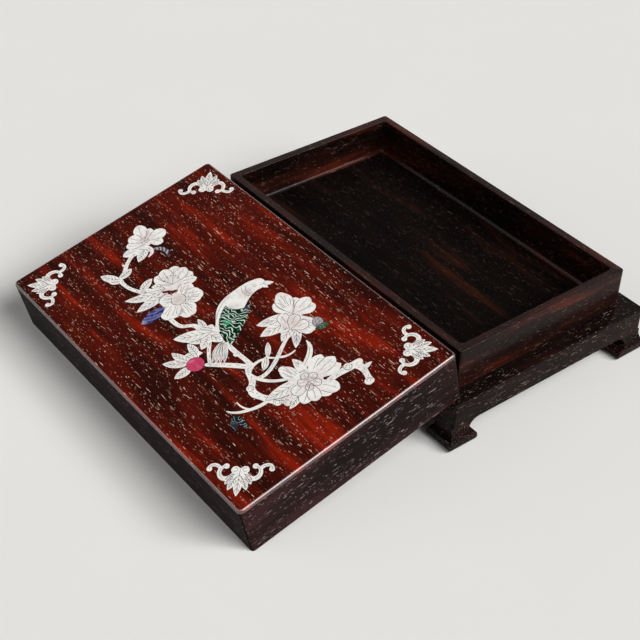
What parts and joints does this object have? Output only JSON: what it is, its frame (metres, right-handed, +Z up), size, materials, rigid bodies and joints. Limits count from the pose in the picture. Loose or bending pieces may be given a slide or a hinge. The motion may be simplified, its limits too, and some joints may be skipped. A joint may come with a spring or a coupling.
{
  "type": "ink stick and stone box",
  "caption": "Low rosewood box for an ink stick and stone: open tray on a footed stand, its lid with shell inlay leaning against the stand.",
  "frame": {"origin": "middle of the footprint of the base and the leaning lid together, on the surface that they stand on", "axes": "+X along the box's length, +Y from the leaning lid towards the tray, +Z up"},
  "size_m": [0.2552, 0.3064, 0.07],
  "materials": {
    "panel_wood": "satin lacquered rosewood, red with dark bands",
    "lid_wood": "satin lacquered rosewood, dark",
    "tray_wood": "satin lacquered rosewood, very dark",
    "stand_wood": "satin lacquered rosewood, dark with red streaks",
    "joinery_wood": "plain hardwood, unfinished",
    "white_shell": "polished white shell with engraved lines",
    "abalone_shell": "polished green shell with dark and silver waves",
    "crimson_shell": "polished red shell",
    "blue_shell": "polished blue shell",
    "grey_shell": "polished grey shell",
    "green_shell": "polished dark green shell"
  },
  "bodies": {
    "base": {"foot_back_left": "stand_wood", "foot_back_right": "stand_wood", "foot_dowels": "joinery_wood", "foot_front_left": "stand_wood", "foot_front_right": "stand_wood", "stand_mitre_keys": "joinery_wood", "stand_rail_back": "stand_wood", "stand_rail_front": "stand_wood", "stand_rail_left": "stand_wood", "stand_rail_right": "stand_wood", "tray_floor": "tray_wood", "tray_mitre_keys": "joinery_wood", "tray_wall_back": "tray_wood", "tray_wall_front": "tray_wood", "tray_wall_left": "tray_wood", "tray_wall_right": "tray_wood"},
    "lid": {"inlay_bird_body": "white_shell", "inlay_bird_tail": "white_shell", "inlay_bird_wing": "abalone_shell", "inlay_blossom_fan": "white_shell", "inlay_blossom_high": "white_shell", "inlay_blossom_large": "white_shell", "inlay_blossom_round": "white_shell", "inlay_blossom_small": "white_shell", "inlay_branch_far": "white_shell", "inlay_branch_gnarled": "white_shell", "inlay_branch_high": "white_shell", "inlay_branch_low": "white_shell", "inlay_branch_round": "white_shell", "inlay_branch_tip": "white_shell", "inlay_bud_far": "white_shell", "inlay_bud_green": "green_shell", "inlay_bud_pale": "grey_shell", "inlay_bud_small": "white_shell", "inlay_calyx_high": "white_shell", "inlay_corner_back_left": "white_shell", "inlay_corner_back_right": "white_shell", "inlay_corner_front_left": "white_shell", "inlay_corner_front_right": "white_shell", "inlay_fruit": "crimson_shell", "inlay_leaf_blade": "white_shell", "inlay_leaf_blue": "blue_shell", "inlay_leaf_dark": "green_shell", "inlay_leaf_grey": "grey_shell", "inlay_leaf_low": "white_shell", "inlay_leaf_side": "white_shell", "inlay_leaves_fruit": "white_shell", "inlay_leaves_large": "white_shell", "inlay_leaves_perch": "white_shell", "inlay_leaves_round": "white_shell", "inlay_leaves_small": "white_shell", "inlay_stem_high": "white_shell", "inlay_stem_small": "white_shell", "lid_mitre_keys": "joinery_wood", "lid_rail_back": "lid_wood", "lid_rail_front": "lid_wood", "lid_rail_left": "lid_wood", "lid_rail_right": "lid_wood", "lid_top_panel": "panel_wood"}
  },
  "joints": [
    {"name": "lid_lift", "type": "slide", "parent": "base", "child": "lid", "axis": [0, 0, 1], "range_m": [0, 0.1]}
  ]
}
